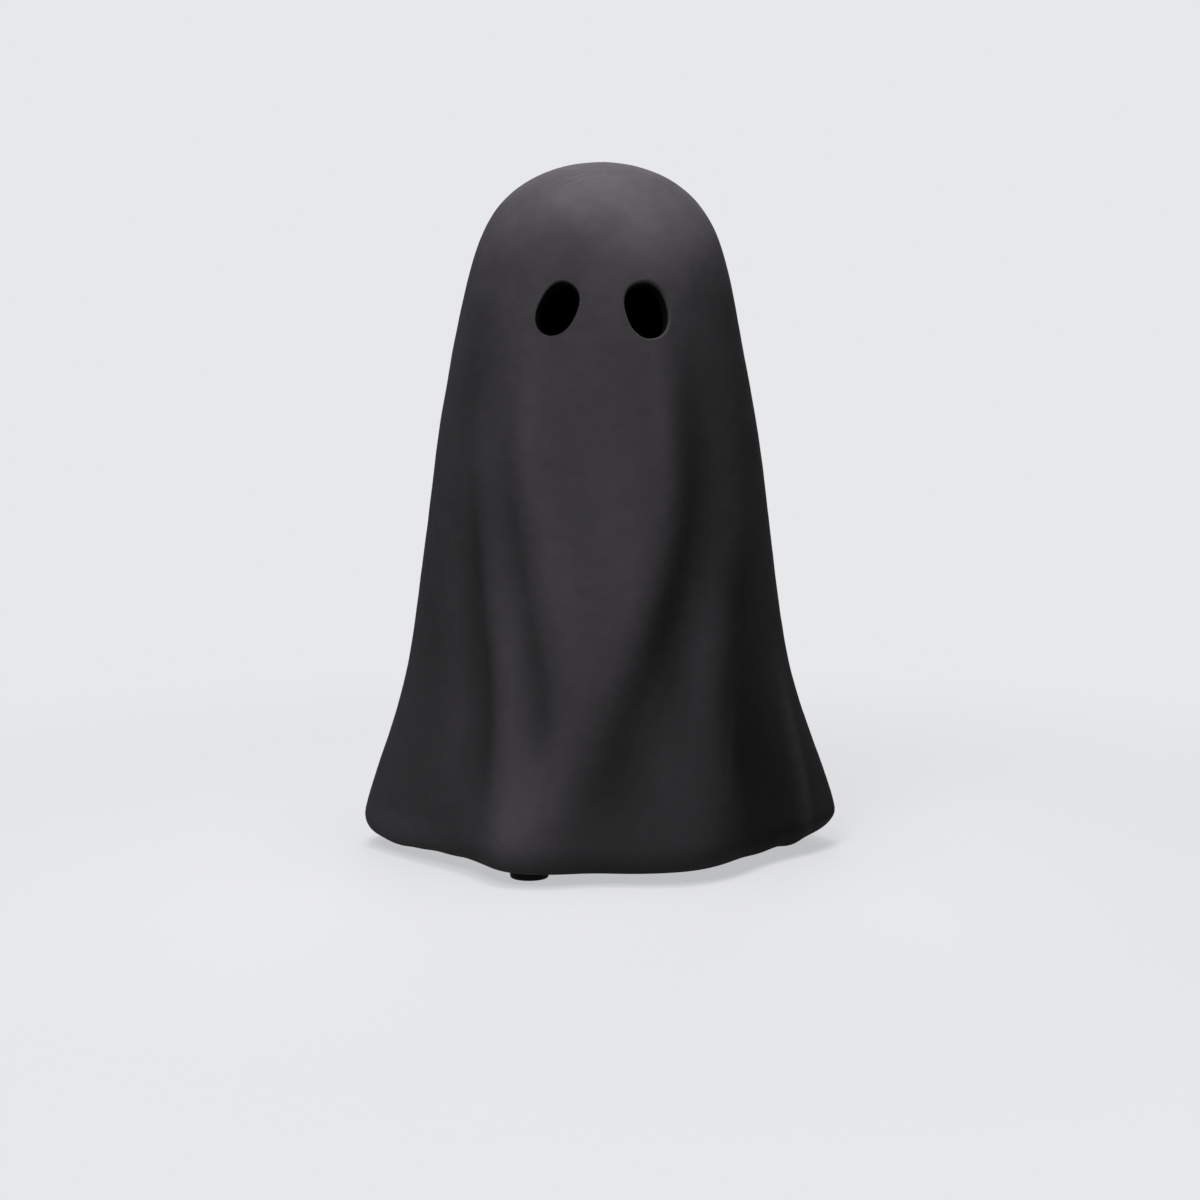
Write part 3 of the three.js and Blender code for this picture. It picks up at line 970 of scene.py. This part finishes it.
# %% The charcoal paint, and the black inside
def charcoal_paint():
    material, tree, shader, where = new_material("brushed_charcoal")
    place = tree.nodes.new("ShaderNodeSeparateXYZ")
    tree.links.new(where, place.inputs[0])
    level = place.outputs[2]
    colour = brushed_worn_and_shaded(tree, where, level, paint_with_shade_and_highlight(tree, where, level))
    # Down the wall of an eye opening the colour fades to black: painted shade.
    opening_shade = ease(tree, stored(tree, "inside"), OPENING_DARKENS_FROM, OPENING_DARK_AT)
    tree.links.new(blend_colours(tree, opening_shade, colour, OPENING_SHADE_BLACK), shader.inputs["Base Color"])
    uneven_polish = ramp(tree, noise(tree, where, 16, 3), [(0.3, grey(0.84)), (0.7, grey(0.94))])
    tree.links.new(uneven_polish, shader.inputs["Roughness"])
    tree.links.new(paper_relief(tree, where), shader.inputs["Normal"])
    shader.inputs["Specular IOR Level"].default_value = 0.03
    return material


def inner_black():
    material, tree, shader, where = new_material("inside_black")
    colour = ramp(tree, noise(tree, where, 6, 4), [(0.3, grey(0.004)), (0.7, (0.009, 0.008, 0.008))])
    tree.links.new(colour, shader.inputs["Base Color"])
    shader.inputs["Roughness"].default_value = 0.95
    shader.inputs["Specular IOR Level"].default_value = 0.1
    tree.links.new(bump(tree, noise(tree, where, 2.5, 3), 0.3, 0.8), shader.inputs["Normal"])
    return material


# %% Bake the shell
drape_tree = build_drape(charcoal_paint(), inner_black())
shell = bake("painted_shell", pattern, drape_tree, DRAPE_INPUTS)
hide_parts("shell_front", "shell_back")
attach(shell, "root")

# %% [markdown]
# ## Rubber feet
#
# Three turned rubber buttons carry the ghost. One foot is drawn as a profile and turned, and a small
# tree sets a copy on each corner of a triangle, so the three can't differ. The triangle's size and
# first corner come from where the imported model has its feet. Real rubber feet have a moulded edge
# with a small radius and a slight hollow underneath, which the profile gives.

# %% Moulded rubber
def rubber():
    material, tree, shader, where = new_material("moulded_rubber")
    colour = ramp(tree, noise(tree, where, 3, 3), [(0.3, grey(0.006)), (0.7, grey(0.011))])
    tree.links.new(colour, shader.inputs["Base Color"])
    shader.inputs["Roughness"].default_value = 0.7
    shader.inputs["Specular IOR Level"].default_value = 0.12
    tree.links.new(bump(tree, noise(tree, where, 0.5, 3), 0.02, 0.6), shader.inputs["Normal"])
    return material


# %% A closed solid from stacked rings
def closed_solid(name, bottom, rings, top):
    """Joins rings of equally many points from the bottom up, with a fan of faces at each end."""
    sides = len(rings[0])
    solid_points = [bottom] + [point for ring in rings for point in ring] + [top]
    last = len(solid_points) - 1
    top_ring = last - sides
    solid_faces = []
    for side in range(sides):
        following = (side + 1) % sides
        solid_faces.append((0, 1 + following, 1 + side))
        for low in range(1, top_ring, sides):
            high = low + sides
            solid_faces.append((low + side, low + following, high + following, high + side))
        solid_faces.append((last, top_ring + side, top_ring + following))
    mesh = bpy.data.meshes.new(name)
    mesh.from_pydata(solid_points, [], solid_faces)
    return mesh


def quarter(steps):
    """Turns from nought to a right angle in even steps, for a rounded edge."""
    return [step / steps * math.pi / 2 for step in range(steps + 1)]


# %% One foot, turned from its profile
FOOT_SIDES = 64
FOOT_EDGE = 0.8
FOOT_TOP_EDGE = 0.3
FOOT_HOLLOW_DEPTH = 0.5
FOOT_HOLLOW_SHARE = 0.55
FOOT_HOLLOW_SLOPE = 0.6


def foot_profile():
    """Radius and height of the foot's skin, from the middle of its underside to the middle of its top."""
    hollow = FOOT_RADIUS * FOOT_HOLLOW_SHARE
    profile = [(0.0, FOOT_HOLLOW_DEPTH), (hollow - FOOT_HOLLOW_SLOPE, FOOT_HOLLOW_DEPTH)]
    profile += [(hollow, 0.0), (hollow + 0.2, 0.0)]
    for bend in quarter(6):
        profile.append((FOOT_RADIUS - FOOT_EDGE * (1 - math.sin(bend)), FOOT_EDGE * (1 - math.cos(bend))))
    profile += [(FOOT_RADIUS, FOOT_TALL - FOOT_TOP_EDGE), (FOOT_RADIUS - FOOT_TOP_EDGE, FOOT_TALL)]
    profile.append((0.0, FOOT_TALL))
    return profile


def turned(name, profile, sides):
    """A closed solid of revolution whose profile starts and ends on its axis."""
    turns = [2 * math.pi * side / sides for side in range(sides)]
    rings = []
    for radius, level in profile[1:-1]:
        ring = [(radius * math.cos(turn) * MM, radius * math.sin(turn) * MM, level * MM) for turn in turns]
        rings.append(ring)
    return closed_solid(name, (0.0, 0.0, profile[0][1] * MM), rings, (0.0, 0.0, profile[-1][1] * MM))


# %% Set the feet on their triangle
foot_centres = [(low + high) / 2 for low, high in foot_boxes]
FOOT_CIRCLE = math.hypot(foot_centres[0].x, foot_centres[0].y)
FIRST_FOOT_TURN = math.atan2(foot_centres[0].y, foot_centres[0].x)


def build_feet(finish, inputs):
    tree, given, result = new_tree("feet", "Geometry", "NodeSocketGeometry", inputs)
    corners = tree.nodes.new("GeometryNodeMeshCircle")
    corners.inputs["Vertices"].default_value = len(FOOT_NODES)
    tree.links.new(given.outputs["Circle"], corners.inputs["Radius"])
    turn = tree.nodes.new("ShaderNodeCombineXYZ")
    tree.links.new(given.outputs["First turn"], turn.inputs["Z"])
    placed = tree.nodes.new("GeometryNodeTransform")
    tree.links.new(corners.outputs[0], placed.inputs["Geometry"])
    tree.links.new(turn.outputs[0], placed.inputs["Rotation"])
    copies = tree.nodes.new("GeometryNodeInstanceOnPoints")
    tree.links.new(placed.outputs[0], copies.inputs["Points"])
    tree.links.new(given.outputs["Geometry"], copies.inputs["Instance"])
    realised = tree.nodes.new("GeometryNodeRealizeInstances")
    tree.links.new(copies.outputs[0], realised.inputs[0])
    finished = give_finish(tree, realised.outputs[0], finish)
    tree.links.new(finished.outputs[0], result.inputs["Geometry"])
    return tree


feet_sizes = {"Circle": FOOT_CIRCLE, "First turn": FIRST_FOOT_TURN}
feet_tree = build_feet(rubber(), feet_sizes)
feet = bake("rubber_feet", turned("one_foot", foot_profile(), FOOT_SIDES), feet_tree, feet_sizes)
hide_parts(*FOOT_NODES)
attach(feet, "root")
print("feet on a circle of", round(FOOT_CIRCLE / MM, 1), "mm")

# %% [markdown]
# ## The board in the hem
#
# A sheet of grey chipboard closes the hem from below and carries the feet. Its outline is the
# packed board's own, read point by point, so it fits the hem. What the solid lacks is the worn edge
# of cut board: the piece gets a small rounding above and below. It is pressed from grey
# paper waste, so its colour is flecked, and paint mist from the shell darkens it near the rim.

# %% Grey chipboard
MIST_FROM = 66
MIST_TO = 84
MIST_RAGGED = 18


def chipboard():
    material, tree, shader, where = new_material("pressed_grey_board")
    waste = noise(tree, where, 1.6, 5, 0.7)
    flecks = ramp(tree, waste, [(0.42, (0.15, 0.13, 0.105)), (0.6, (0.26, 0.23, 0.185))])
    clouds = ramp(tree, noise(tree, where, 30, 2), [(0.3, grey(0.8)), (0.7, grey(1.0))])
    bare = blend_colours(tree, 0.7, flecks, clouds, "MULTIPLY")
    place = tree.nodes.new("ShaderNodeSeparateXYZ")
    tree.links.new(where, place.inputs[0])
    squares = [calc(tree, "POWER", place.outputs[axis], 2.0) for axis in range(2)]
    reach = calc(tree, "SQRT", calc(tree, "ADD", *squares))
    mist_edge = calc(tree, "MULTIPLY_ADD", noise(tree, where, 12, 3), MIST_RAGGED * MM, reach)
    mist = ease(tree, mist_edge, MIST_FROM * MM, MIST_TO * MM)
    tree.links.new(blend_colours(tree, mist, bare, DARK_PAINT_AND_SHADE), shader.inputs["Base Color"])
    shader.inputs["Roughness"].default_value = 0.92
    tree.links.new(bump(tree, noise(tree, where, 0.8, 4, 0.7), 0.06, 0.8), shader.inputs["Normal"])
    return material


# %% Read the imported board's outline
BOARD_COLUMNS = 240
BOARD_TURNS = [-math.pi + 2 * math.pi * column / BOARD_COLUMNS for column in range(BOARD_COLUMNS)]


def board_reach():
    """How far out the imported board's edge is at each of evenly spaced turns, going round."""
    rim = {}
    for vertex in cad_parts["base_board"].data.vertices:
        turn = math.atan2(vertex.co.y, vertex.co.x)
        rim[round(turn, 4)] = max(rim.get(round(turn, 4), 0.0), math.hypot(vertex.co.x, vertex.co.y))
    turns = sorted(turn for turn in rim if rim[turn] > 0.5 * max(rim.values()))
    reaches = []
    for turn in BOARD_TURNS:
        after = next((i for i, other in enumerate(turns) if other > turn), 0)
        first, second = turns[after - 1], turns[after]
        span = (second - first) % (2 * math.pi)
        share = ((turn - first) % (2 * math.pi)) / span
        reaches.append(rim[first] + (rim[second] - rim[first]) * share)
    return reaches


# %% Round the board's edge
BOARD_EDGE = 0.6
BOARD_INNER_RINGS = [0.25, 0.5, 0.75]


def board_rings():
    """Each ring's share of the board's reach, how far it is drawn in and its level, from below to above."""
    low, high = board_low.z, board_high.z
    edge = BOARD_EDGE * MM
    rings = [(share, 0.0, low) for share in BOARD_INNER_RINGS]
    rings += [(1.0, edge * (1 - math.sin(bend)), low + edge * (1 - math.cos(bend))) for bend in quarter(4)]
    rings += [(1.0, edge * (1 - math.cos(bend)), high - edge * (1 - math.sin(bend))) for bend in quarter(4)]
    rings += [(share, 0.0, high) for share in reversed(BOARD_INNER_RINGS)]
    return rings


def board_mesh():
    reaches = board_reach()
    rings = []
    for share, inwards, level in board_rings():
        radii = [reach * share - inwards for reach in reaches]
        rings.append([(r * math.cos(turn), r * math.sin(turn), level) for r, turn in zip(radii, BOARD_TURNS)])
    mesh = closed_solid("hem_board", (0.0, 0.0, board_low.z), rings, (0.0, 0.0, board_high.z))
    mesh.materials.append(chipboard())
    return mesh


# %% Build the board
SHARP_FROM_DEGREES = 40
board = bpy.data.objects.new("hem_board", board_mesh())
board.data.shade_smooth()
board.data.set_sharp_from_angle(angle=math.radians(SHARP_FROM_DEGREES))
bpy.context.scene.collection.objects.link(board)
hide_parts("base_board")
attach(board, "root")
print("board:", len(board.data.polygons), "faces")

# %% [markdown]
# ## The pasted strip inside
#
# A strip of torn paper runs over the crown on the inside, where the front and back halves meet. The
# packed strip already has the right form, so it stays and only gets its finish: brown paper, dull
# with paste, with a wrinkled surface.

# %% Pasted paper
def pasted_paper():
    material, tree, shader, where = new_material("torn_paper_strip")
    colour = ramp(tree, noise(tree, where, 7, 5, 0.6), [(0.3, (0.24, 0.2, 0.15)), (0.7, (0.33, 0.28, 0.21))])
    tree.links.new(colour, shader.inputs["Base Color"])
    shader.inputs["Roughness"].default_value = 0.95
    tree.links.new(bump(tree, noise(tree, where, 2, 4, 0.7), 0.1, 0.8), shader.inputs["Normal"])
    return material


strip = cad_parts["seam_strip"]
strip.data.materials.clear()
strip.data.materials.append(pasted_paper())
print("strip finished")

# %% [markdown]
# ## Floor
#
# The picture needs a plain pale ground that still takes the ghost's shadow. A round disc of floor is
# lit by the lamps, and it thins out towards its rim until the pale world shows through, so there is
# no horizon. It is paler to the camera than to the ghost, which keeps it from lighting the hem.

# %% The ground's finish
FADE_FROM = 0.14
FADE_TO = 0.46
FLOOR_SEEN = (0.208, 0.208, 0.213)
FLOOR_GLOW = 0.52
FLOOR_BOUNCE = grey(0.38)
COOL_WHITE = (0.97, 0.98, 1.0, 1)


def sees_the_background(tree):
    """One for rays that come from the camera, a reflection or a see-through surface."""
    path = tree.nodes.new("ShaderNodeLightPath")
    either = calc(tree, "MAXIMUM", path.outputs["Is Camera Ray"], path.outputs["Is Glossy Ray"])
    return calc(tree, "MAXIMUM", either, path.outputs["Is Transmission Ray"])


def floor_material():
    material, tree, shader, where = new_material("pale_ground")
    shader.inputs["Roughness"].default_value = 0.9
    shader.inputs["Specular IOR Level"].default_value = 0.1
    seen = sees_the_background(tree)
    tree.links.new(blend_colours(tree, seen, FLOOR_BOUNCE, FLOOR_SEEN), shader.inputs["Base Color"])
    shader.inputs["Emission Color"].default_value = COOL_WHITE
    tree.links.new(calc(tree, "MULTIPLY", seen, FLOOR_GLOW), shader.inputs["Emission Strength"])
    reach = tree.nodes.new("ShaderNodeVectorMath")
    reach.operation = "LENGTH"
    tree.links.new(where, reach.inputs[0])
    clear = tree.nodes.new("ShaderNodeBsdfTransparent")
    fade = tree.nodes.new("ShaderNodeMixShader")
    tree.links.new(ease(tree, reach.outputs["Value"], FADE_FROM, FADE_TO), fade.inputs[0])
    tree.links.new(shader.outputs[0], fade.inputs[1])
    tree.links.new(clear.outputs[0], fade.inputs[2])
    tree.links.new(fade.outputs[0], tree.nodes["Material Output"].inputs["Surface"])
    return material


# %% A floor that fades away
FLOOR_RADIUS = 1.6
FLOOR_SIDES = 64


def add_floor():
    mesh = bpy.data.meshes.new("pale_floor")
    turns = [2 * math.pi * side / FLOOR_SIDES for side in range(FLOOR_SIDES)]
    rim = [(FLOOR_RADIUS * math.cos(turn), FLOOR_RADIUS * math.sin(turn), 0.0) for turn in turns]
    mesh.from_pydata(rim, [], [list(range(FLOOR_SIDES))])
    mesh.materials.append(floor_material())
    floor = bpy.data.objects.new("pale_floor", mesh)
    bpy.context.scene.collection.objects.link(floor)


add_floor()
print("floor fades out between", FADE_FROM, "and", FADE_TO, "m")

# %% [markdown]
# ## Lights
#
# The ghost was pictured under a soft lamp close above its head and a little in front, which lights
# the crown strongly and the hem less, with a second lamp high at the front left. The right side gets
# only what the pale room gives back. A weak lamp high behind shows the folds to whoever walks round,
# and hardly reaches the front. Square lamps of 0.4 m give these soft edges.

# %% Lamps
LIT_POINT = Vector((0.0, 0.0, 0.18))


def soft_light(name, place, size, power):
    light = bpy.data.lights.new(name, "AREA")
    light.shape = "SQUARE"
    light.size = size
    light.energy = power
    holder = bpy.data.objects.new(name, light)
    holder.location = place
    holder.rotation_mode = "QUATERNION"
    holder.rotation_quaternion = (LIT_POINT - Vector(place)).to_track_quat("-Z", "Y")
    bpy.context.scene.collection.objects.link(holder)
    print(name, "lamp:", power, "W")


soft_light("overhead", (0.0, -0.05, 0.78), 0.4, 5.6)
soft_light("front_left", (-0.22, -0.60, 0.82), 0.4, 5.6)
soft_light("behind", (0.0, 0.85, 0.80), 0.4, 3.0)

# %% Pale room
ROOM_LIGHT = 0.01
BACKGROUND = 0.823


def pale_room():
    world = bpy.data.worlds.new("pale_room")
    world.use_nodes = True
    tree = world.node_tree
    strength = calc(tree, "MULTIPLY_ADD", sees_the_background(tree), BACKGROUND - ROOM_LIGHT, ROOM_LIGHT)
    tree.links.new(strength, tree.nodes["Background"].inputs["Strength"])
    tree.nodes["Background"].inputs["Color"].default_value = COOL_WHITE
    bpy.context.scene.world = world


pale_room()
print("room light", ROOM_LIGHT, "and background", BACKGROUND)

# %% [markdown]
# ## Camera
#
# A long lens from a metre and a half away, seven degrees above the horizontal, sees the front of the
# hem's curve and hardly any of its underside. The camera is turned, not shifted, until the aimed-at
# point lands on the pixel where the picture has it, so other views can move it freely.

# %% Camera
CAMERA_ELEVATION = 7.0
CAMERA_DISTANCE = 1.5
CAMERA_AIM = Vector((0.0, 0.0, 0.14))
FOCAL_PIXELS = 3685
PICTURE_SIDE = 1200
AIM_PIXEL = (598.5, 507.2)


def add_camera():
    data = bpy.data.cameras.new("camera")
    data.sensor_width = 36.0
    data.lens = data.sensor_width * FOCAL_PIXELS / PICTURE_SIDE
    camera = bpy.data.objects.new("camera", data)
    bpy.context.scene.collection.objects.link(camera)
    elevation = math.radians(CAMERA_ELEVATION)
    back = Vector((0, -math.cos(elevation), math.sin(elevation)))
    up = Vector((0, math.sin(elevation), math.cos(elevation)))
    camera.location = CAMERA_AIM + back * CAMERA_DISTANCE
    per_pixel = CAMERA_DISTANCE / FOCAL_PIXELS
    right_by = (PICTURE_SIDE / 2 - AIM_PIXEL[0]) * per_pixel
    down_by = (PICTURE_SIDE / 2 - AIM_PIXEL[1]) * per_pixel
    middle = CAMERA_AIM + Vector((right_by, 0, 0)) - up * down_by
    camera.rotation_mode = "QUATERNION"
    camera.rotation_quaternion = (middle - camera.location).to_track_quat("-Z", "Y")
    bpy.context.scene.camera = camera


add_camera()
bpy.context.scene.view_settings.view_transform = "Standard"
print("camera", CAMERA_DISTANCE, "m away")
